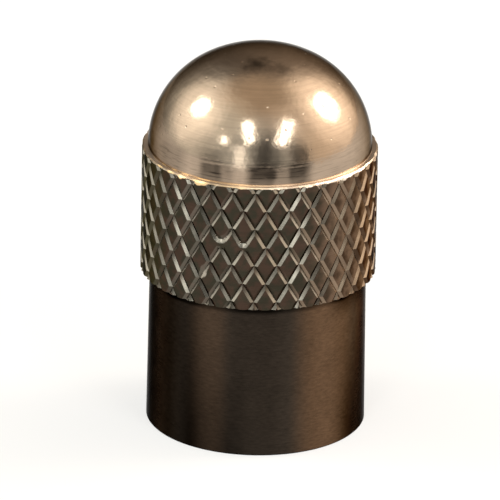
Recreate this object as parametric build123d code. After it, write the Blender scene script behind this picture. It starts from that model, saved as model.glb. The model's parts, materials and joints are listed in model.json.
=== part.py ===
from build123d import *
from math import ceil, cos, pi, radians, sin, sqrt, tan
import os

# A domed metal tyre valve cap, standing on its open mouth, in millimetres.
# The origin is the centre of the mouth plane and +Z runs up the cap's axis.

# Female valve thread, cut as a plain bore at the crests of the thread
thread_minor_dia = 7.0
thread_height = 0.43  # crest to root, on the radius
thread_depth = 9.1  # mouth plane to the end of the thread

# Heights of the three outside zones, from the mouth up
skirt_height = 6.95
band_height = 5.65
dome_height = 4.45

# Outside radii, each stepped out from the one before it
skirt_wall = 0.76  # metal outside the roots of the thread, at the neck of the skirt
skirt_flare = 0.06  # growth of the skirt's radius from the neck down to the mouth
band_step = 0.41  # crests of the knurl outside the neck of the skirt
ledge_width = 0.25  # crests of the knurl outside the base of the dome
shoulder_arc = 60.0  # degrees of the dome's profile that its shoulder radius takes
mouth_edge_break = 0.05  # chamfer round the outside of the mouth

# Diamond knurl of the band
knurl_count = 32  # grooves of each hand
knurl_helix = 30.8  # degrees between a groove and the cap's axis
groove_depth = 0.095
groove_angle = 113.0  # degrees between the two flanks of a groove
crossing_drop = 0.27  # top of the band down to the first ring of groove crossings
crossing_angle = -91.8  # degrees about +Z of one crossing in that ring
band_edge_break = 0.05  # chamfer on the upper edge of the knurl

# Sealing washer and the groove that keeps it behind the thread
washer_thickness = 1.2
washer_bore_dia = 3.2
washer_clearance = 0.15  # washer to groove, on the radius
washer_edge_break = 0.15
groove_relief = 0.02  # washer groove outside the roots of the thread, on the radius
thread_run_out = 0.3  # groove height left free below the washer

# Well above the washer, which clears the pin of the valve core
well_dia = 4.4
well_depth = 2.0
drill_point = 118.0  # degrees, full angle of the cone that ends the well

band_bottom = skirt_height
band_top = band_bottom + band_height
thread_minor_radius = thread_minor_dia / 2
thread_major_radius = thread_minor_radius + thread_height
neck_radius = thread_major_radius + skirt_wall
mouth_radius = neck_radius + skirt_flare
crest_radius = neck_radius + band_step
root_radius = crest_radius - groove_depth
dome_radius = crest_radius - ledge_width
relief_radius = thread_major_radius + groove_relief
seat_height = thread_depth + thread_run_out + washer_thickness
crossing_height = band_top - crossing_drop
half_rise = pi * crest_radius / knurl_count / tan(radians(knurl_helix))
groove_half_width = groove_depth * tan(radians(groove_angle / 2)) / cos(radians(knurl_helix))
flat_half_width = pi * crest_radius / knurl_count - groove_half_width
flat_radius = sqrt(crest_radius**2 - flat_half_width**2)


def revolved(*edges):
    # A closed half section in the XZ plane, turned once round the axis
    return revolve(Plane.XZ * make_face(edges), Axis.Z)


def skirt():
    # Slightly flared sleeve below the band, still solid inside
    outline = Polyline(
        (0, 0),
        (mouth_radius - mouth_edge_break, 0),
        (mouth_radius, mouth_edge_break),
        (neck_radius, band_bottom),
        (0, band_bottom),
        close=True,
    )
    return revolved(*outline.edges())


def dome():
    # Shoulder and crown arcs that meet smoothly, upright at the ledge and level on the axis
    turn = radians(shoulder_arc)
    crown_share = (1 - sin(turn)) / cos(turn)
    shoulder_radius = (dome_height - dome_radius * crown_share) / (
        sin(turn) - (1 - cos(turn)) * crown_share
    )
    shoulder_centre = dome_radius - shoulder_radius
    crown_radius = shoulder_radius + shoulder_centre / cos(turn)
    crown_centre = band_top + dome_height - crown_radius
    shoulder = CenterArc((shoulder_centre, band_top), shoulder_radius, 0, shoulder_arc)
    crown = CenterArc((0, crown_centre), crown_radius, shoulder_arc, 90 - shoulder_arc)
    base = Polyline(crown @ 1, (0, band_top), (dome_radius, band_top))
    return revolved(shoulder, crown, *base.edges())


def cavity():
    # Lead-in, thread bore, washer groove and the drilled well, as one solid to cut away
    well_radius = well_dia / 2
    well_top = seat_height + well_depth
    point_height = well_radius / tan(radians(drill_point / 2))
    outline = Polyline(
        (0, 0),
        (thread_major_radius, 0),
        (thread_minor_radius, thread_height),
        (thread_minor_radius, thread_depth),
        (relief_radius, thread_depth),
        (relief_radius, seat_height),
        (well_radius, seat_height),
        (well_radius, well_top),
        (0, well_top + point_height),
        close=True,
    )
    return revolved(*outline.edges())


def knurl_point(radius, step, row):
    # A point of the knurl's lattice: half pitches round the band, half diamonds down it
    angle = radians(crossing_angle + step * 180 / knurl_count)
    return (radius * cos(angle), radius * sin(angle), crossing_height - row * half_rise)


def half_diamond(step, row, way):
    # The half of a flat-topped diamond above (way 1) or below (way -1) its middle, as plane
    # faces: half of its flat top, and two flanks that run down to the roots of the grooves
    middle = radians(crossing_angle + step * 180 / knurl_count)
    outward = Vector(cos(middle), sin(middle), 0)
    along = Vector(-sin(middle), cos(middle), 0)
    height = crossing_height - row * half_rise
    centre = outward * flat_radius + Vector(0, 0, height)
    left = centre - along * flat_half_width
    right = centre + along * flat_half_width
    peak = centre + Vector(0, 0, way * flat_half_width / tan(radians(knurl_helix)))
    left_root = knurl_point(root_radius, step - 1, row)
    right_root = knurl_point(root_radius, step + 1, row)
    peak_root = knurl_point(root_radius, step, row - way)
    return [
        (left, right, peak),
        (left_root, left, peak),
        (left_root, peak, peak_root),
        (right, right_root, peak_root),
        (right, peak_root, peak),
    ]


def knurled_bar():
    # A bar with the whole knurl on it, cut off square through a ring of diamonds at each end
    first = -ceil((band_top - crossing_height) / half_rise)
    last = ceil((crossing_height - band_bottom) / half_rise)
    outlines = []
    for row in range(first, last + 1):
        for step in range((row + 1) % 2, 2 * knurl_count, 2):
            if row > first:
                outlines += half_diamond(step, row, 1)
            if row < last:
                outlines += half_diamond(step, row, -1)
    for row in (first, last):
        ring = []
        for step in range((row + 1) % 2, 2 * knurl_count, 2):
            left, right, _ = half_diamond(step, row, 1)[0]
            ring += [knurl_point(root_radius, step - 1, row), left, right]
        outlines.append(ring)
    faces = [make_face(Polyline(*outline, close=True)).face() for outline in outlines]
    return Solid(Shell(faces))


def knurled_band():
    # The bar trimmed to the band's height, with the upper edge of the knurl broken
    edge_radius = crest_radius - band_edge_break
    clear_radius = crest_radius + band_edge_break
    outline = Polyline(
        (0, band_bottom),
        (clear_radius, band_bottom),
        (clear_radius, band_top - 2 * band_edge_break),
        (edge_radius, band_top),
        (0, band_top),
        close=True,
    )
    return revolved(*outline.edges()) & knurled_bar()


def cap_body():
    return skirt() + knurled_band() + dome() - cavity()


def sealing_washer():
    # Rubber ring, flat against the seat at the end of its groove
    outer_radius = relief_radius - washer_clearance
    seated = Pos(0, 0, seat_height - washer_thickness)
    lying_flat = (Align.CENTER, Align.CENTER, Align.MIN)
    disc = seated * Cylinder(outer_radius, washer_thickness, align=lying_flat)
    disc = chamfer(disc.edges().filter_by(GeomType.CIRCLE), washer_edge_break)
    return disc - seated * Cylinder(washer_bore_dia / 2, washer_thickness, align=lying_flat)


os.makedirs("parts", exist_ok=True)
export_step(cap_body(), "parts/cap_body.step")
export_step(sealing_washer(), "parts/sealing_washer.step")
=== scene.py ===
import json
import math

import bpy
from mathutils import Matrix, Vector


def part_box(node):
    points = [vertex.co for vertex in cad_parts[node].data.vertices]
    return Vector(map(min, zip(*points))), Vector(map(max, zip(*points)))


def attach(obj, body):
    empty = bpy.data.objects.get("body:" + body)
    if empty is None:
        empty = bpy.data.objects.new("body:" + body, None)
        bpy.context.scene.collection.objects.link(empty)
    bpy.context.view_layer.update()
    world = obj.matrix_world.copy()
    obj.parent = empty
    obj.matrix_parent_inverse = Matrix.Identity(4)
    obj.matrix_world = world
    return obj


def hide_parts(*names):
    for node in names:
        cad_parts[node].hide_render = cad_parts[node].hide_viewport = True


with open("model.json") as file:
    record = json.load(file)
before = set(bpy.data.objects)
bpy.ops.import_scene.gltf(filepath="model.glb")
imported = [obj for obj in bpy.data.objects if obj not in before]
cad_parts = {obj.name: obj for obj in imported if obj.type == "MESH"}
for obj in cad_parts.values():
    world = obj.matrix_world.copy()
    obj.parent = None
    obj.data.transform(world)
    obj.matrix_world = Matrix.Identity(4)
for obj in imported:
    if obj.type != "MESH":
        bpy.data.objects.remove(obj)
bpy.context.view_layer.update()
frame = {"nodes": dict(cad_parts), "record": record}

mm = 0.001
seamGap = 0.0005 * mm  # points nearer than this are joined
sharpAngle = math.radians(28)  # edges that turn by more than this stay crisp
markCore = 0.3  # share of a mark's half width that has its full strength
print("frame loaded:", sorted(frame["nodes"]))


class Wire:
    # a socket of a node tree: sums on it add Math nodes, node() adds any other kind
    def __init__(self, tree, socket=None):
        self.tree = tree
        self.socket = socket

    def node(self, kind, settings=None, sockets=None, output=0):
        made = self.tree.nodes.new(kind)
        for name, value in (settings or {}).items():
            setattr(made, name, value)
        for name, value in (sockets or {}).items():
            for part in value if isinstance(value, list) else [value]:
                if isinstance(part, Wire):
                    self.tree.links.new(part.socket, made.inputs[name])
                else:
                    made.inputs[name].default_value = part
        return Wire(self.tree, made.outputs[output] if made.outputs else None)

    def also(self, output):
        # another output of the same node
        return Wire(self.tree, self.socket.node.outputs[output])

    def into(self, node, name):
        self.tree.links.new(self.socket, node.inputs[name])

    def math(self, operation, *values):
        return self.node("ShaderNodeMath", {"operation": operation}, dict(enumerate(values)))

    def __add__(self, other):
        return self.math("ADD", self, other)

    def __radd__(self, other):
        return self.math("ADD", other, self)

    def __sub__(self, other):
        return self.math("SUBTRACT", self, other)

    def __rsub__(self, other):
        return self.math("SUBTRACT", other, self)

    def __mul__(self, other):
        return self.math("MULTIPLY", self, other)

    def __rmul__(self, other):
        return self.math("MULTIPLY", other, self)

    def __truediv__(self, other):
        return self.math("DIVIDE", self, other)

    def __rtruediv__(self, other):
        return self.math("DIVIDE", other, self)

    def __pow__(self, other):
        return self.math("POWER", self, other)

    def __rpow__(self, other):
        return self.math("POWER", other, self)

    def __gt__(self, other):
        return self.math("GREATER_THAN", self, other)

    def __lt__(self, other):
        return self.math("LESS_THAN", self, other)

    def __abs__(self):
        return self.math("ABSOLUTE", self)

    def atLeast(self, low):
        return self.math("MAXIMUM", self, low)

    def atMost(self, high):
        return self.math("MINIMUM", self, high)

    def wrapped(self, half):
        return self.math("WRAP", self, half, -half)

    def varied(self, least, spread):
        return least + self * spread

    def fade(self, start, end):
        # 0 at start and 1 at end, eased
        return self.node("ShaderNodeMapRange", {"interpolation_type": "SMOOTHSTEP"},
                         {"Value": self, "From Min": start, "From Max": end})

    def blend(self, first, second):
        # first where this wire is 0, second where it is 1
        return first + self * (second - first)

    def colour(self, first, second, kind="MIX"):
        # the same for colours; kind ADD adds this wire's share of the second to the first
        ends = {6: first if isinstance(first, Wire) else (*first, 1.0),
                7: second if isinstance(second, Wire) else (*second, 1.0)}
        return self.node("ShaderNodeMix", {"data_type": "RGBA", "blend_type": kind}, {0: self, **ends}, 2)

    def scaled(self, strength):
        # a colour or vector times a value
        return self.node("ShaderNodeVectorMath", {"operation": "SCALE"}, {0: self, "Scale": strength})

    def vector(self, x, y, z):
        return self.node("ShaderNodeCombineXYZ", sockets={0: x, 1: y, 2: z})

    def parts(self):
        # x, y and z of a vector
        x = self.node("ShaderNodeSeparateXYZ", sockets={0: self})
        return x, x.also("Y"), x.also("Z")

    def noise(self, vector, scale, detail):
        return self.node("ShaderNodeTexNoise",
                         sockets={"Vector": vector, "Scale": scale, "Detail": detail})


def newObject(name, data):
    made = bpy.data.objects.new(name, data)
    bpy.context.scene.collection.objects.link(made)
    return made


def newMaterial(name):
    material = bpy.data.materials.new(name)
    material.use_nodes = True
    shader = material.node_tree.nodes["Principled BSDF"]
    return material, shader, Wire(material.node_tree)


def geometryTree(name, sizes):
    # a tree with one named input for each size
    tree = bpy.data.node_groups.new(name, "GeometryNodeTree")
    tree.interface.new_socket("Geometry", in_out="OUTPUT", socket_type="NodeSocketGeometry")
    for title in sizes:
        tree.interface.new_socket(title, in_out="INPUT", socket_type="NodeSocketFloat")
    start = Wire(tree)
    inlet = start.node("NodeGroupInput")
    return start, {title: inlet.also(title) for title in sizes}


def turnedPoint(angle, radius, height):
    return angle.vector(radius * angle.math("COSINE", angle), radius * angle.math("SINE", angle), height)


def turnedStrip(start, columns, rows, place):
    # a strip of the turned surface: place gives radius, height and angle from column and row
    grid = start.node("GeometryNodeMeshGrid", sockets={
        "Size X": 1.0, "Size Y": 1.0, "Vertices X": columns + 1, "Vertices Y": rows + 1})
    across, along = start.node("GeometryNodeInputPosition").parts()[:2]
    column = start.math("ROUND", (across + 0.5) * columns)
    row = start.math("ROUND", (along + 0.5) * rows)
    radius, height, angle = place(column, row)
    point = turnedPoint(angle, radius, height).scaled(mm)
    return start.node("GeometryNodeSetPosition", sockets={"Geometry": grid, "Position": point})


def straightStrip(start, columns, rows, near, far, firstAngle=0.0):
    # a cylinder, cone or flat ring between two (radius, height) points
    def place(column, row):
        along = row / rows
        return (along.blend(near[0], far[0]), along.blend(near[1], far[1]),
                column * (math.tau / columns) + firstAngle)
    return turnedStrip(start, columns, rows, place)


def finishTree(start, strips, material):
    # join the strips, close every seam and pole, and mark the crisp edges
    joined = start.node("GeometryNodeJoinGeometry", sockets={0: strips})
    closed = start.node("GeometryNodeMergeByDistance", sockets={0: joined, "Distance": seamGap})
    smooth = start.node("GeometryNodeSetShadeSmooth", {"domain": "FACE"},
                        {0: closed, "Shade Smooth": True})
    crisp = start.node("GeometryNodeInputMeshEdgeAngle") > sharpAngle
    edged = start.node("GeometryNodeSetShadeSmooth", {"domain": "EDGE"},
                       {0: smooth, "Selection": crisp, "Shade Smooth": False})
    real = start.node("GeometryNodeRealizeInstances", sockets={0: edged})
    dressed = start.node("GeometryNodeSetMaterial", sockets={0: real, "Material": material})
    start.node("NodeGroupOutput", sockets={0: dressed})


def pieceFromTree(name, start, sizes):
    # run the tree once and keep the result as a plain mesh
    piece = newObject(name, bpy.data.meshes.new(name))
    shaper = piece.modifiers.new(name, "NODES")
    shaper.node_group = start.tree
    for item in start.tree.interface.items_tree:
        if item.in_out == "INPUT":
            shaper[item.identifier] = float(sizes[item.name])
    bpy.context.view_layer.update()
    evaluated = piece.evaluated_get(bpy.context.evaluated_depsgraph_get())
    shaped = bpy.data.meshes.new_from_object(evaluated)
    piece.modifiers.remove(shaper)
    piece.data = shaped
    shaped.name = name
    print(name, "has", sum(len(face.vertices) - 2 for face in shaped.polygons), "triangles")
    return piece


# the cap, in millimetres and radians; what the frame gives is read from it
capLow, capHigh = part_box("cap_body")
threadMount = next(mount for mount in frame["record"]["mounts"] if mount["name"] == "valve_thread")
cap = {
    "sizes": {  # the inputs of its tree
        "capHeight": capHigh.z / mm,
        "crestRadius": (capHigh.x - capLow.x) / 2 / mm,
        "threadCrest": threadMount["dims"]["r_mm"],
        "threadHeight": 0.43,
        "threadEnd": 9.1,
        "threadPitch": 0.794,
        "reliefRadius": 3.95,
        "seatHeight": 10.6,
        "wellRadius": 2.2,
        "wellTop": 12.6,
        "drillTip": 13.92,
        "mouthRadius": 4.75,
        "mouthBreak": 0.05,
        "neckRadius": 4.69,
        "bandBottom": 6.95,
        "bandTop": 12.60,
        "edgeBreak": 0.07,
        "lipHeight": 0.10,
        "rimBurr": 0.14,
        "domeRadius": 4.85,
        "grooveDepth": 0.095,
        "grooveWidth": 0.3342,
        "crossingDrop": 0.27,  # from the band's top to the first ring of crossings
        "crossingAngle": math.radians(-91.8),  # a crossing close to the front
        "unevenness": 0.006,
    },
    "shoulderArc": math.radians(60),
    "thread": {"crestShare": 0.2, "flankShare": 0.65, "rounding": 0.05},  # of half a pitch
    "knurl": {
        "count": 32,
        "helix": math.radians(30.8),
        "bluntTips": [(-3, 3, 10.6), (-1, 3, 6.1)],  # half pitches, ring of crossings, rounding
        "nicks": [(-4.54, 4.56, 3.4)],  # half pitches, ring of crossings, size in columns
        "bendFade": (-2.0, 1.0),  # rows above a crossing where a blunt tip's bend begins
        "lipPlain": 0.3,  # share of the lip that no groove reaches
        "burr": (1.8, 3.0),  # waves to the millimetre and detail
        "rolling": (1.6, 2.0),
    },
    "mesh": {
        "stepsPerPitch": 18,  # columns across one diamond, and rows down it
        "insideColumns": 96,
        "threadSteps": 8,  # rows in one turn of the thread
        "wellRows": 6,
        "seatRows": 3,
        "reliefRows": 4,
        "mouthRows": 2,
        "skirtRows": 12,
        "lipRows": 4,
        "domeRows": 40,
    },
}
capSizes = cap["sizes"]
knurl = cap["knurl"]


def capPiece(material):
    start, size = geometryTree("valveCap", capSizes)
    mesh = cap["mesh"]
    insideColumns = mesh["insideColumns"]
    columns = knurl["count"] * mesh["stepsPerPitch"]
    columnAngle = math.tau / columns
    # the knurl starts at a crossing, so the skirt's columns are turned a little to meet its columns
    columnTurn = math.remainder(capSizes["crossingAngle"], columnAngle)
    threadRoot = size["threadCrest"] + size["threadHeight"]
    mouthEdge = size["mouthRadius"] - size["mouthBreak"]

    def insideAngle(column):
        return column * (math.tau / insideColumns)

    def threadRadius(angle, height):
        # trapezoid thread, opened by the lead-in cone at the mouth
        thread = cap["thread"]
        turns = (size["threadEnd"] - height) / size["threadPitch"] + angle / math.tau
        wave = abs(start.math("FRACT", turns) - 0.5) * 2
        slope = (wave - thread["crestShare"]) / thread["flankShare"]
        depth = start.math("SMOOTH_MIN", slope, 1.0, thread["rounding"]).atLeast(0.0).atMost(1.0)
        plain = size["threadCrest"] + depth * size["threadHeight"]
        return plain.atLeast(threadRoot - height)

    def threadStrip():
        turns = math.ceil(capSizes["threadEnd"] / capSizes["threadPitch"] + 1)

        def place(column, row):
            angle = insideAngle(column)
            climb = angle / math.tau - row / mesh["threadSteps"]
            height = size["threadEnd"] + climb * size["threadPitch"]
            height = height.atMost(size["threadEnd"]).atLeast(0.0)
            return threadRadius(angle, height), height, angle
        return turnedStrip(start, insideColumns, turns * mesh["threadSteps"], place)

    def threadEndStrip():
        # the flat ring where the thread stops below the washer
        def place(column, row):
            angle = insideAngle(column)
            edge = threadRadius(angle, size["threadEnd"])
            return row.blend(size["reliefRadius"], edge), size["threadEnd"], angle
        return turnedStrip(start, insideColumns, 1, place)

    def mouthStrip():
        # the rim that the cap stands on: its inner edge has fewer columns, so they close up in sixes
        share = columns // insideColumns

        def place(column, row):
            gathered = start.math("FLOOR", column / share) * share
            angle = row.blend(gathered, column) * columnAngle + row * columnTurn
            return row.blend(threadRoot, mouthEdge), 0.0, angle
        return turnedStrip(start, columns, 1, place)

    halfSteps = mesh["stepsPerPitch"] / 2
    halfPitch = size["crestRadius"] * (math.pi / knurl["count"])
    rowHeight = halfPitch / math.tan(knurl["helix"]) / halfSteps
    columnWidth = halfPitch / halfSteps
    crossing = size["bandTop"] - size["crossingDrop"]

    def rimNoise(angle):
        scale, detail = knurl["burr"]
        return start.noise(turnedPoint(angle, size["crestRadius"] * scale, 0.0), 1.0, detail) - 0.5

    def grooveShare(column, height):
        # 0 on the flats and 1 at the roots of the two crossing sets of grooves
        lift = (height - crossing) / rowHeight
        reach = size["grooveWidth"] / 2 / columnWidth
        near = abs((column - lift).wrapped(halfSteps)).atMost(abs((column + lift).wrapped(halfSteps)))

        def fromCrossing(step, ring):
            return (column - step * halfSteps).wrapped(columns / 2), lift + ring * halfSteps

        for step, ring, rounding in knurl["bluntTips"]:
            # the two grooves below this diamond join in one round bend, above their crossing
            across, above = fromCrossing(step, ring)
            left = above + across
            right = above - across
            bend = abs(((rounding - left) ** 2 + (rounding - right) ** 2) ** 0.5 - rounding)
            here = (left.atMost(right) > 0 - reach) * (left.atLeast(right) < rounding)
            near = (here * above.fade(*knurl["bendFade"])).blend(near, bend)
        for step, ring, wide in knurl["nicks"]:
            across, above = fromCrossing(step, ring)
            near = near.atMost((across ** 2 + above ** 2) ** 0.5 * (reach / wide))
        belowLip = (size["bandTop"] - height).fade(size["lipHeight"] * knurl["lipPlain"], size["lipHeight"])
        return (1 - near / reach).atLeast(0.0) * belowLip

    def knurlRadius(column, height, angle):
        ground = turnedPoint(angle, size["crestRadius"], height)
        rolled = (start.noise(ground, *knurl["rolling"]) - 0.5) * size["unevenness"]
        plain = size["crestRadius"] - grooveShare(column, height) * size["grooveDepth"] + rolled
        edge = size["crestRadius"] - size["edgeBreak"] + (size["bandTop"] - height)
        return plain.atMost(edge - rimNoise(angle) * size["rimBurr"])

    def knurlAngle(column):
        return column * columnAngle + size["crossingAngle"]

    def underStrip():
        # the step under the band, out to the cut ends of the diamonds
        def place(column, row):
            angle = knurlAngle(column)
            outer = knurlRadius(column, size["bandBottom"], angle)
            return row.blend(size["neckRadius"], outer), size["bandBottom"], angle
        return turnedStrip(start, columns, 1, place)

    def knurlStrip():
        # rows are counted down and up from the highest ring of crossings
        halfRise = capSizes["crestRadius"] * math.pi / knurl["count"] / math.tan(knurl["helix"])
        stepHeight = halfRise / halfSteps
        bandHeight = capSizes["bandTop"] - capSizes["bandBottom"]
        below = math.ceil((bandHeight - capSizes["crossingDrop"]) / stepHeight)
        above = math.ceil(capSizes["crossingDrop"] / stepHeight)
        lipRows = mesh["lipRows"]

        def heightAt(row):
            # the last rows make the lip
            height = crossing + (row - below) * rowHeight
            lip = size["bandTop"] + (row - below - above - lipRows) * (size["lipHeight"] / lipRows)
            return height.atLeast(size["bandBottom"]).atMost(lip.atMost(size["bandTop"]))

        def place(column, row):
            height = heightAt(row)
            angle = knurlAngle(column)
            return knurlRadius(column, height, angle), height, angle
        strip = turnedStrip(start, columns, below + above + lipRows, place)
        return start.node("GeometryNodeTriangulate", {"quad_method": "SHORTEST_DIAGONAL"}, {0: strip})

    def ledgeStrip():
        def place(column, row):
            angle = knurlAngle(column)
            outer = knurlRadius(column, size["bandTop"], angle)
            return row.blend(outer, size["domeRadius"]), size["bandTop"], angle
        return turnedStrip(start, columns, 1, place)

    def domeStrip():
        # shoulder arc and crown arc that meet smoothly
        arcSine = math.sin(cap["shoulderArc"])
        arcCosine = math.cos(cap["shoulderArc"])
        crownShare = (1 - arcSine) / arcCosine
        domeHeight = size["capHeight"] - size["bandTop"]
        shoulder = (domeHeight - size["domeRadius"] * crownShare) / (arcSine - (1 - arcCosine) * crownShare)
        offset = size["domeRadius"] - shoulder
        crown = shoulder + offset / arcCosine
        crownBase = size["capHeight"] - crown

        def place(column, row):
            lean = row * (math.pi / 2 / mesh["domeRows"])
            past = lean > cap["shoulderArc"]
            arc = past.blend(shoulder, crown)
            radius = past.blend(offset, 0.0) + arc * start.math("COSINE", lean)
            height = past.blend(size["bandTop"], crownBase) + arc * start.math("SINE", lean)
            return radius.atLeast(0.0), height, knurlAngle(column)
        return turnedStrip(start, columns, mesh["domeRows"], place)

    def inner(rows, near, far):
        return straightStrip(start, insideColumns, mesh[rows], near, far)

    def outer(rows, near, far):
        return straightStrip(start, columns, mesh[rows], near, far, columnTurn)

    well = (size["wellRadius"], size["wellTop"])
    seat = (size["wellRadius"], size["seatHeight"])
    relief = (size["reliefRadius"], size["seatHeight"])
    mouth = (size["mouthRadius"], size["mouthBreak"])
    strips = [
        inner("wellRows", (0.0, size["drillTip"]), well),
        inner("wellRows", well, seat),
        inner("seatRows", seat, relief),
        inner("reliefRows", relief, (size["reliefRadius"], size["threadEnd"])),
        threadEndStrip(),
        threadStrip(),
        mouthStrip(),
        outer("mouthRows", (mouthEdge, 0.0), mouth),
        outer("skirtRows", mouth, (size["neckRadius"], size["bandBottom"])),
        underStrip(),
        knurlStrip(),
        ledgeStrip(),
        domeStrip(),
    ]
    finishTree(start, strips, material)
    return pieceFromTree("valveCap", start, capSizes)


# the plating of the cap
finish = {
    # one plating in painted copies: bright on the dome as a painted reflection of the lamps, dark on the
    # flats and the skirt as a painted reflection of a dark room
    "dome": (0.41, 0.315, 0.235),
    # painted highlight on the ledge
    "ledge": (0.95, 0.80, 0.67),
    "rimDull": (0.36, 0.27, 0.19),
    "rimGold": (0.92, 0.66, 0.36),  # painted highlight, at the left
    "rimBright": (0.92, 0.77, 0.63),  # and at the right
    "flats": [(0.062, 0.040, 0.029), (0.040, 0.036, 0.025)],  # two shades in patches, of the dark painted copy
    # an olive painted reflection of a green thing at the left
    "flatsOlive": (0.105, 0.096, 0.062),
    "flatsShadedLit": [(0.058, 0.034, 0.021), (0.185, 0.119, 0.078)],  # painted shade at a diamond's left tip and painted light at its right tip
    # painted highlights on the grooves' upward walls, warmer where they are a painted reflection of warm
    # light
    "flanks": (0.37, 0.335, 0.28),
    "flanksWarm": (0.52, 0.39, 0.28),
    "skirt": (0.038, 0.029, 0.022),
    # painted warm reflection on the skirt
    "skirtWarm": (0.115, 0.066, 0.037),
    "inside": (0.25, 0.17, 0.08),
    "edgeTint": (0.2, 0.205, 0.21),
    "domeRoughness": 0.16,
    "skirtRoughness": 0.3,
    "flankRoughness": 0.25,
    "rimRoughness": 0.45,
    "roughnessSpread": 0.1,
    # marks by angle from the front: middle, half width and strength, which is below 0 for darker
    # painted reflections on the skirt: lighter and darker streaks up its height
    "skirtReflections": [(-80, 30, 0.45), (-45, 20, -0.52), (0, 20, -0.28), (43, 14, 0.2), (82, 36, 2.2)],
    "skirtFade": [(-24, 24, -0.5), (74, 32, -1.5)],  # painted shade, darker towards the mouth
    "skirtShade": [(66, 30, -1.1)],  # painted shadow, darker towards the band
    # where the skirt takes that painted warm reflection
    "skirtWarmth": [(-27, 15, 0.3), (40, 24, 0.88), (80, 34, 0.1)],
    # where the flats take that painted green reflection
    "bandOlive": [(-86, 40, 0.8)],
    # where the flats and groove walls are painted warm, as a painted reflection of warm light
    "bandWarmth": [(58, 38, 0.9)],
    # flats painted paler on the right, as painted light
    "bandLift": [(82, 32, 0.6)],
    # how much painted highlight the far walls gain and the near walls lose
    "farWalls": [[(34, 24, 0.36)], [(-33, 24, 0.2)]],  # of the falling and of the rising grooves
    "dullWalls": [[(-26, 12, 0.35)], [(34, 14, 0.4)]],
    # painted highlights along the lip, and blobs where they reach further down
    "rimShine": [(-58, 3, 0.9), (-49, 3, 0.9), (-41, 3, 0.8), (-30, 6, 1.0), (0, 24, 0.8),
                 (50, 38, 0.9)],
    "rimBlobs": [(-58, 3, 0.4), (-49, 3, 0.4), (-41, 3, 0.3), (-30, 6, 1.1), (48, 20, 0.6)],
    # painted shade on the ledge at the right
    "ledgeShade": [(95, 48, -0.62)],
    # painted reflections of dark things in front, low on the dome
    "domeReflections": [(-27, 9, -0.7), (-18, 7, -0.4), (0.5, 9, -0.85), (9, 6, -0.4), (20.5, 10, -0.82)],
    "domeReflectionTop": 1.1,  # millimetres above the band
    "sideReflections": [(-52, 14, -0.34, 1.4), (-80, 28, -0.36, 2.9), (90, 56, 0.12, 1.3)],  # painted reflections at the dome's sides, darker at the left, lighter at the right; last its top
    "tipStains": [(-0.2, -1.4, 0.95, 0.65), (0.75, -1.5, 0.7, 0.35)],  # x, y, size and shade
    "tipSquash": 1.3,
    "tipRagged": 1.3,
    "markFade": 0.6,  # share of a painted reflection's height below its fading top
    "reflectionWobble": 8,  # degrees
    "footShare": 0.7,  # what is left of the dome's painted reflections at its foot
    "smearHeight": 0.8,
    "scratchShade": 0.2,
    # painted shadow in a thin line under the band
    "grime": 0.65,
    "darkest": -0.9,
    # least and spread of what a noise makes uneven
    "mottled": (0.8, 0.4),
    "turned": (0.85, 0.3),
    "brushed": (0.55, 0.9),
    "worn": (0.6, 0.8),
    "lip": (0.5, 0.8),
    "highlightFadeTop": (0.1, 0.4),  # painted highlight left at the upper ends of the falling and of the rising grooves
    "nearWallLoss": 0.5,  # for each share of its far wall
    "tiltSpread": 0.25,
    # painted glints on the lip's burr
    "burrShine": 0.5,
    "skinDepth": 0.3,  # from the mouth's edge to what counts as inside
    "roofMargin": 0.1,
    "edges": {  # where each zone begins and where it is full
        "dome": (0.02, 0.06),  # millimetres from the band's top
        "ledge": (-0.02, -0.005),
        "rim": (-0.02, 0.03),
        "foot": (0.1, 0.5),
        "polish": (1.0, 3.0),
        "skirt": (-0.04, 0.01),  # millimetres from the band's bottom
        "shade": (-1.4, -0.2),
        "grime": (-0.46, -0.2),
        "flank": (0.03, 0.2),  # share of a groove's depth
        "worn": (0.03, 0.6),  # share of the way down a groove
        "tilt": (0.2, 0.75),  # share of the way across a diamond
        "wall": (-0.05, 0.12),  # how far a face looks up
        "level": (0.8, 0.95),
        "gold": (-25, 15),  # degrees from the front
        "lip": (0.45, 0.7),  # level of a noise
        "shine": (0.5, 0.66),
        "patches": (0.35, 0.65),
        "scratches": (0.5, 0.68),
        "pits": (0.04, 0.16),  # share of a cell
    },
    "clouds": {  # waves to the millimetre and detail
        "mottle": (0.9, 4.0),
        "patches": (2.2, 2.0),
        "ragged": (2.4, 3.0),
        "worn": (1.3, 2.0),
        "dents": (1.3, 2.0),
        "scuffs": (5.5, 2.0),
    },
    "grain": {  # waves to the millimetre across and up the cap
        "lines": (0.3, 14.0),
        "brushed": (4.0, 14.0),
        "scratches": (1.3, 15.0),
        "smear": (0.6, 12.0),
    },
    "grainDetail": 3.0,
    "turningLines": 0.0011,  # heights of the bumps, in millimetres
    "dents": 0.016,
    "scuffs": 0.0034,
    "pits": 0.012,
    "pitCells": 2.6,
    "pitChance": 0.3,
    "crownPolish": 0.8,  # share of the turning lines that is polished away
}
edges = finish["edges"]


def bearingOf(x, y):
    # degrees from the front, positive to the right
    return x.math("DEGREES", x.math("ARCTAN2", x, 0 - y))


def byAngle(angle, marks):
    total = angle * 0.0
    for middle, half, strength in marks:
        total = total + (1 - abs(angle - middle).fade(half * markCore, half)) * strength
    return total


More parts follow.
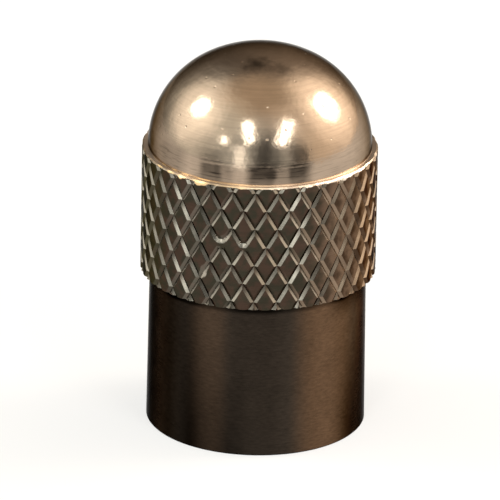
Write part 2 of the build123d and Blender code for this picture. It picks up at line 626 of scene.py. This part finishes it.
def metalZones(start, x, y, z, bearing, burr):
    # 0 to 1 masks for the parts of the cap and for the painted highlights on the groove walls
    radius = (x * x + y * y) ** 0.5
    up = start.node("ShaderNodeNewGeometry", output="True Normal").parts()[2]
    aboveBand = z - capSizes["bandTop"]
    # the painted highlight on each groove wall is brightest at its lower end
    halfPitch = 180 / knurl["count"]
    halfRise = capSizes["crestRadius"] * math.radians(halfPitch) / math.tan(knurl["helix"])
    turn = (bearing - (math.degrees(capSizes["crossingAngle"]) + 90)) / halfPitch
    lift = (aboveBand + capSizes["crossingDrop"]) / halfRise
    rising = abs((turn - lift).wrapped(1)) < abs((turn + lift).wrapped(1))
    fromTop = start.math("FRACT", rising.blend(turn - lift, 0 - turn - lift) / 2)
    highlightNoise = start.noise(start.vector(x, y, z), *finish["clouds"]["worn"]).varied(*finish["worn"])
    worn = fromTop.fade(*edges["worn"]).blend(rising.blend(*finish["highlightFadeTop"]), 1.0) * highlightNoise
    # at the sides the painted highlight also falls on the wall under each leaning groove, and the near wall
    # gets less of it
    upper = up.fade(*edges["wall"])
    far, dull = [rising.blend(*[byAngle(bearing, marks) for marks in finish[walls]])
                 for walls in ("farWalls", "dullWalls")]
    nearWall = (1 - dull - far * finish["nearWallLoss"]) * worn
    depth = (capSizes["crestRadius"] - radius) / capSizes["grooveDepth"]
    # the lip zone reaches down unevenly, further at the painted highlight blobs
    lip = burr.fade(*edges["lip"]).varied(*finish["lip"]) + byAngle(bearing, finish["rimBlobs"])
    dome = aboveBand.fade(*edges["dome"])
    ledge = aboveBand.fade(*edges["ledge"]) * up.fade(*edges["level"])
    within = radius < capSizes["mouthRadius"] - finish["skinDepth"]
    return {
        "dome": dome,
        "rim": (aboveBand + capSizes["lipHeight"] * lip).fade(*edges["rim"]),
        "ledge": ledge * (1 - dome),
        # painted highlight on the grooves' upward walls, and on the far walls at the sides
        "flank": depth.fade(*edges["flank"]) * upper.blend(far, nearWall),
        "farWall": (1 - upper) * (1 - rising),
        # 0 at the left tip of a diamond, 1 at its right tip
        "across": (start.math("FRACT", (turn - lift) / 2) + start.math("FRACT", (turn + lift) / 2)) / 2,
        "skirt": 1 - (z - capSizes["bandBottom"]).fade(*edges["skirt"]),
        "inside": within * (z < capSizes["drillTip"] + finish["roofMargin"]),
    }


def platedMetal():
    # warm plating in painted copies: a bright dome and a dark skirt and flats as painted reflections, with
    # painted highlights on the grooves' upward walls
    material, shader, start = newMaterial("platedMetal")
    x, y, z = [axis / mm for axis in start.node("ShaderNodeTexCoord", output="Object").parts()]
    place = start.vector(x, y, z)
    bearing = bearingOf(x, y)
    aboveBand = z - capSizes["bandTop"]
    fromBottom = z - capSizes["bandBottom"]

    def cloud(name):
        return start.noise(place, *finish["clouds"][name])

    def grain(name):
        # noise drawn out round the cap
        across, upwards = finish["grain"][name]
        return start.noise(start.vector(x * across, y * across, z * upwards), 1.0, finish["grainDetail"])

    mottle = cloud("mottle")
    lines = grain("lines")
    scratches = grain("scratches").fade(*edges["scratches"])
    burrScale, burrDetail = knurl["burr"]
    burr = start.noise(start.vector(x * burrScale, y * burrScale, 0.0), 1.0, burrDetail)
    zone = metalZones(start, x, y, z, bearing, burr)

    patches = cloud("patches").fade(*edges["patches"])
    colour = patches.colour(*finish["flats"])
    # painted green reflection on the flats at the far left
    colour = byAngle(bearing, finish["bandOlive"]).colour(colour, finish["flatsOlive"])
    # on the right of the band the flats are painted warm, with painted shade at each diamond's left tip and
    # painted light at its right
    warmth = byAngle(bearing, finish["bandWarmth"])
    litAcross = (zone["across"] - (patches - 0.5) * finish["tiltSpread"]).fade(*edges["tilt"])
    colour = warmth.colour(colour, litAcross.colour(*finish["flatsShadedLit"]))
    # painted highlights on the groove walls, warmer on the right and on the far walls
    warmHighlight = (warmth + zone["farWall"]).atMost(1.0)
    colour = zone["flank"].colour(colour, warmHighlight.colour(finish["flanks"], finish["flanksWarm"]))
    # painted warm reflections on the skirt
    warmth = byAngle(bearing, finish["skirtWarmth"]).atMost(1.0)
    colour = zone["skirt"].colour(colour, warmth.colour(finish["skirt"], finish["skirtWarm"]))
    # painted highlights on the lip: gold at the left, pale at the right
    shine = burr.fade(*edges["shine"]) * finish["burrShine"] + byAngle(bearing, finish["rimShine"])
    rimHighlight = bearing.fade(*edges["gold"]).colour(finish["rimGold"], finish["rimBright"])
    colour = zone["rim"].colour(colour, shine.atMost(1.0).colour(finish["rimDull"], rimHighlight))
    # the dome's painted bright copy, the ledge's painted highlight and the inside's colour
    for part in ("ledge", "dome", "inside"):
        colour = zone[part].colour(colour, finish[part])

    # painted reflections, shade and shadow, scratches and crown smudges, as shares by which the colour is
    # lighter or darker
    def upTo(height, top):
        return 1 - height.fade(top * finish["markFade"], top)

    # painted reflections of dark things in front, low on the dome, and its darker scratches
    smear = aboveBand + (grain("smear") - 0.5) * finish["smearHeight"]
    low = upTo(smear, finish["domeReflectionTop"]) * zone["dome"]
    foot = aboveBand.fade(*edges["foot"]).blend(finish["footShare"], 1.0)
    wobbly = bearing + (mottle - 0.5) * finish["reflectionWobble"]
    paintedShadeAndStains = byAngle(wobbly, finish["domeReflections"]) * low * foot - low * scratches * finish["scratchShade"]
    # painted reflections at the dome's sides
    for middle, half, strength, top in finish["sideReflections"]:
        side = upTo(aboveBand, top) * zone["rim"]
        paintedShadeAndStains = paintedShadeAndStains + byAngle(bearing, [(middle, half, strength)]) * side
    places = {
        # painted shade on the ledge
        "ledgeShade": zone["ledge"],
        # painted reflections on the skirt
        "skirtReflections": zone["skirt"],
        # flats painted paler on the right, as painted light
        "bandLift": (1 - zone["skirt"]) * (1 - zone["rim"]) * (1 - zone["flank"]),
        # painted shade towards the mouth
        "skirtFade": (1 - z.fade(0.0, capSizes["bandBottom"])) * zone["skirt"],
        # painted shadow towards the band
        "skirtShade": fromBottom.fade(*edges["shade"]) * zone["skirt"],
    }
    for name, where in places.items():
        paintedShadeAndStains = paintedShadeAndStains + byAngle(bearing, finish[name]) * where
    # painted shadow in a thin line under the band
    paintedShadeAndStains = paintedShadeAndStains - fromBottom.fade(*edges["grime"]) * zone["skirt"] * finish["grime"]
    ragged = (cloud("ragged") - 0.5) * finish["tipRagged"]
    for middleX, middleY, wide, shade in finish["tipStains"]:
        away = ((x - middleX) ** 2 + ((y - middleY) * finish["tipSquash"]) ** 2) ** 0.5 + ragged
        paintedShadeAndStains = paintedShadeAndStains - (1 - away.fade(0.0, wide)) * shade * zone["dome"]
    tooled = zone["skirt"].blend(lines.varied(*finish["turned"]), grain("brushed").varied(*finish["brushed"]))
    strength = mottle.varied(*finish["mottled"]) * (1 + paintedShadeAndStains.atLeast(finish["darkest"])) * tooled

    roughness = zone["flank"].blend(finish["skirtRoughness"], finish["flankRoughness"])
    roughness = zone["rim"].blend(roughness, finish["rimRoughness"])
    roughness = zone["dome"].blend(roughness, finish["domeRoughness"])
    roughness = roughness + (mottle - 0.5) * finish["roughnessSpread"]

    # bumps: turning lines all over, dents, scuffs and a few pits on the dome
    cells = start.node("ShaderNodeTexVoronoi", sockets={"Vector": place, "Scale": finish["pitCells"]})
    chosen = cells.also("Color").parts()[0] > 1 - finish["pitChance"]
    pits = (1 - cells.fade(*edges["pits"])) * chosen
    unpolished = 1 - aboveBand.fade(*edges["polish"]) * finish["crownPolish"]
    uneven = cloud("dents") * finish["dents"] + cloud("scuffs") * finish["scuffs"] - pits * finish["pits"]
    height = lines * finish["turningLines"] * unpolished + uneven * zone["dome"]
    bump = start.node("ShaderNodeBump", sockets={"Strength": 1.0, "Distance": mm, "Height": height})

    colour.scaled(strength).into(shader, "Base Color")
    roughness.into(shader, "Roughness")
    bump.into(shader, "Normal")
    shader.inputs["Metallic"].default_value = 1.0
    shader.inputs["Specular Tint"].default_value = (*finish["edgeTint"], 1.0)
    return material


valveCap = capPiece(platedMetal())
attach(valveCap, "root")
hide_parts("cap_body")
print("cap ready")


# the rubber washer behind the thread, in millimetres
washerLow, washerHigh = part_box("sealing_washer")
washer = {
    "sizes": {  # the inputs of its tree
        "bottom": washerLow.z / mm,
        "top": washerHigh.z / mm,
        "outer": washerHigh.x / mm,
        "bore": 1.6,
        "edgeBreak": 0.15,
    },
    "columns": 96,
    "rows": 4,
    "rubber": [(0.018, 0.018, 0.018), (0.042, 0.040, 0.038)],
    "roughness": (0.6, 0.25),  # least and spread
    "grain": (4.0, 4.0),  # waves to the millimetre and detail
    "grainHeight": 0.02,
    "grainStrength": 0.4,
}


def washerPiece(material):
    start, size = geometryTree("washerRing", washer["sizes"])
    shoulder = size["outer"] - size["edgeBreak"]
    corners = [
        (size["bore"], size["top"]),
        (size["bore"], size["bottom"]),
        (shoulder, size["bottom"]),
        (size["outer"], size["bottom"] + size["edgeBreak"]),
        (size["outer"], size["top"] - size["edgeBreak"]),
        (shoulder, size["top"]),
        (size["bore"], size["top"]),
    ]
    strips = [straightStrip(start, washer["columns"], washer["rows"], near, far)
              for near, far in zip(corners, corners[1:])]
    finishTree(start, strips, material)
    return pieceFromTree("washerRing", start, washer["sizes"])


def blackRubber():
    material, shader, start = newMaterial("blackRubber")
    waves, detail = washer["grain"]
    grain = start.noise(start.node("ShaderNodeTexCoord", output="Object"), waves / mm, detail)
    bump = start.node("ShaderNodeBump", sockets={
        "Strength": washer["grainStrength"], "Distance": washer["grainHeight"] * mm, "Height": grain})
    grain.colour(*washer["rubber"]).into(shader, "Base Color")
    grain.varied(*washer["roughness"]).into(shader, "Roughness")
    bump.into(shader, "Normal")
    return material


washerRing = washerPiece(blackRubber())
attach(washerRing, "root")
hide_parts("sealing_washer")
print("washer ready")


# floor, lamps and room, in metres and degrees
studio = {
    "floorSize": 1.5,
    "floorColour": (0.78, 0.78, 0.78),
    "floorRoughness": 0.9,
    "floorWhite": 0.6,
    "leftRoom": (0.70, 0.72, 0.68),
    "rightRoom": (0.86, 0.72, 0.58),
    "frontRoom": (0.66, 0.70, 0.68),
    "overhead": (0.74, 0.60, 0.45),
    "leftDim": (0.16, 0.14, 0.12),  # behind the cap
    "rightDim": (0.40, 0.33, 0.265),
    # where one light turns into the next, on a ball of radius 1 round the cap
    "sideEdge": (-0.8, 0.8),
    "frontEdge": (0.4, 1.0),
    "overheadEdge": (0.75, 1.0),
    "dimSides": (-0.4, 0.4),
    "dimEdge": (0.64, 1.0),
    "dimTop": (0.87, 0.985),
    "glows": [  # azimuth and elevation of the middle, spread in degrees, added light
        (-99, 33, 40, (1.25, 1.18, 1.05)),
        (112, 32, 44, (1.65, 1.48, 1.26)),
        (-74, 20, 36, (0.4, 0.39, 0.35)),
        (100, 2, 45, (0.22, 0.19, 0.16)),
        (-52, 48, 30, (0.42, 0.42, 0.37)),
        (62, 45, 30, (0.35, 0.32, 0.28)),
        (62, 10, 28, (0.3, 0.26, 0.2)),
    ],
    "screens": [  # azimuth, half width, shade, elevation of the top
        (-52, 17, -0.5, 19),
        (2.5, 12, -0.78, 46),
        (14, 13, -0.52, 52),
        (42, 14, -0.78, 30),
    ],
    "screenFade": 16,
    "lamps": [  # name, azimuth, elevation, roll, width and height in degrees, radiance, colour, shape
        ("hotLeft", -95, 39, 0, 17, 17, 9.0, (0.97, 1.0, 0.96), "ELLIPSE"),
        ("hotRight", 105, 35, 0, 24, 24, 9.0, (1.0, 0.95, 0.88), "ELLIPSE"),
        ("frontLeft", -15, 40, 18, 9, 25, 8.0, (0.97, 1.0, 0.96), "RECTANGLE"),
        ("frontRight", 32, 37.5, -32, 10, 28, 8.0, (0.97, 1.0, 0.98), "RECTANGLE"),
        ("frontSmall", -41, 26, 0, 9, 8, 6.0, (0.97, 1.0, 0.96), "ELLIPSE"),
        ("frontStrip", -21.5, 11, 0, 11, 24, 1.8, (0.97, 1.0, 0.97), "RECTANGLE"),
    ],
    "lampDistance": 0.4,
}


def paleFloor():
    material, shader, start = newMaterial("paleFloor")
    shader.inputs["Base Color"].default_value = (*studio["floorColour"], 1.0)
    shader.inputs["Roughness"].default_value = studio["floorRoughness"]
    seen = start.node("ShaderNodeLightPath", output="Is Camera Ray")
    seen = seen + seen.also("Is Glossy Ray") + seen.also("Is Transmission Ray")
    share = seen.atMost(1.0) * studio["floorWhite"]
    white = start.node("ShaderNodeEmission", sockets={"Color": (1, 1, 1, 1), "Strength": 1.0})
    lit = Wire(start.tree, shader.outputs[0])
    mixed = start.node("ShaderNodeMixShader", sockets={0: share, 1: lit, 2: white})
    mixed.into(start.tree.nodes["Material Output"], "Surface")
    half = studio["floorSize"] / 2
    corners = [(-half, -half, 0), (half, -half, 0), (half, half, 0), (-half, half, 0)]
    mesh = bpy.data.meshes.new("floor")
    mesh.from_pydata(corners, [], [(0, 1, 2, 3)])
    mesh.materials.append(material)
    floor = newObject("floor", mesh)


def towards(azimuth, elevation):
    # azimuth from the camera's side of the cap, positive to the right
    flat = math.cos(math.radians(elevation))
    turn = math.radians(azimuth)
    return Vector((math.sin(turn) * flat, -math.cos(turn) * flat, math.sin(math.radians(elevation))))


def facing(way, roll):
    # the turn of a lamp or camera that stands this way from the cap and looks at it
    return way.to_track_quat("Z", "Y").to_matrix() @ Matrix.Rotation(math.radians(roll), 3, "Z")


def lamp(name, azimuth, elevation, roll, wide, tall, radiance, colour, shape):
    # an area lamp that looks wide x tall degrees from the cap
    light = bpy.data.lights.new(name, "AREA")
    light.shape = shape
    reach = studio["lampDistance"]
    light.size = 2 * reach * math.tan(math.radians(wide / 2))
    light.size_y = 2 * reach * math.tan(math.radians(tall / 2))
    area = light.size * light.size_y * (math.pi / 4 if shape == "ELLIPSE" else 1.0)
    light.energy = radiance * area * math.pi
    light.color = colour
    way = towards(azimuth, elevation)
    holder = newObject(name, light)
    holder.location = Vector((0, 0, capSizes["capHeight"] * mm / 2)) + way * reach
    holder.rotation_euler = facing(way, roll).to_euler()
    holder.visible_camera = False


def studioWorld():
    # soft room: bright round the two main lamps, dim behind the cap, dark screens low in front
    world = bpy.data.worlds.new("studio")
    world.use_nodes = True
    start = Wire(world.node_tree)
    x, y, z = start.node("ShaderNodeTexCoord", output="Generated").parts()
    room = x.fade(*studio["sideEdge"]).colour(studio["leftRoom"], studio["rightRoom"])
    room = (0 - y).fade(*studio["frontEdge"]).colour(room, studio["frontRoom"])
    room = z.fade(*studio["overheadEdge"]).colour(room, studio["overhead"])
    for azimuth, elevation, spread, glow in studio["glows"]:
        way = towards(azimuth, elevation)
        near = (x * way.x + y * way.y + z * way.z).fade(math.cos(math.radians(spread)), 1.0)
        room = near.colour(room, glow, "ADD")
    behind = (y / (x * x + y * y) ** 0.5).fade(*studio["dimEdge"]) * (1 - z.fade(*studio["dimTop"]))
    dim = x.fade(*studio["dimSides"]).colour(studio["leftDim"], studio["rightDim"])
    room = behind.colour(room, dim)
    bearing = bearingOf(x, y)
    screened = 1.0
    for middle, half, shade, top in studio["screens"]:
        full = math.sin(math.radians(top - studio["screenFade"]))
        low = 1 - z.fade(full, math.sin(math.radians(top)))
        screened = screened * (1 + byAngle(bearing, [(middle, half, shade)]) * low)
    room.scaled(screened).into(start.tree.nodes["Background"], "Color")
    bpy.context.scene.world = world


# the camera, fitted to the photograph: lengths in millimetres, angles in degrees
shot = {
    "elevation": 22.31,
    "distance": 500.0,
    "lens": 830.8,
    "sensor": 36.0,
    "nearest": 10.0,
    "aimHeight": 8.0,
    "aimRight": -0.358,
    "aimUp": -0.310,
    "roll": 1.06,
}


def photoCamera():
    camera = bpy.data.cameras.new("photoCamera")
    camera.lens = shot["lens"]
    camera.sensor_width = shot["sensor"]
    camera.clip_start = shot["nearest"] * mm
    back = towards(0, shot["elevation"])
    turn = facing(back, shot["roll"])
    aim = Vector((0, 0, shot["aimHeight"])) + turn @ Vector((shot["aimRight"], shot["aimUp"], 0))
    holder = newObject("photoCamera", camera)
    holder.matrix_world = Matrix.Translation((aim + back * shot["distance"]) * mm) @ turn.to_4x4()
    bpy.context.scene.camera = holder


paleFloor()
for settings in studio["lamps"]:
    lamp(*settings)
studioWorld()
photoCamera()
bpy.context.scene.view_settings.view_transform = "Standard"
print("studio ready")

bpy.context.view_layer.update()
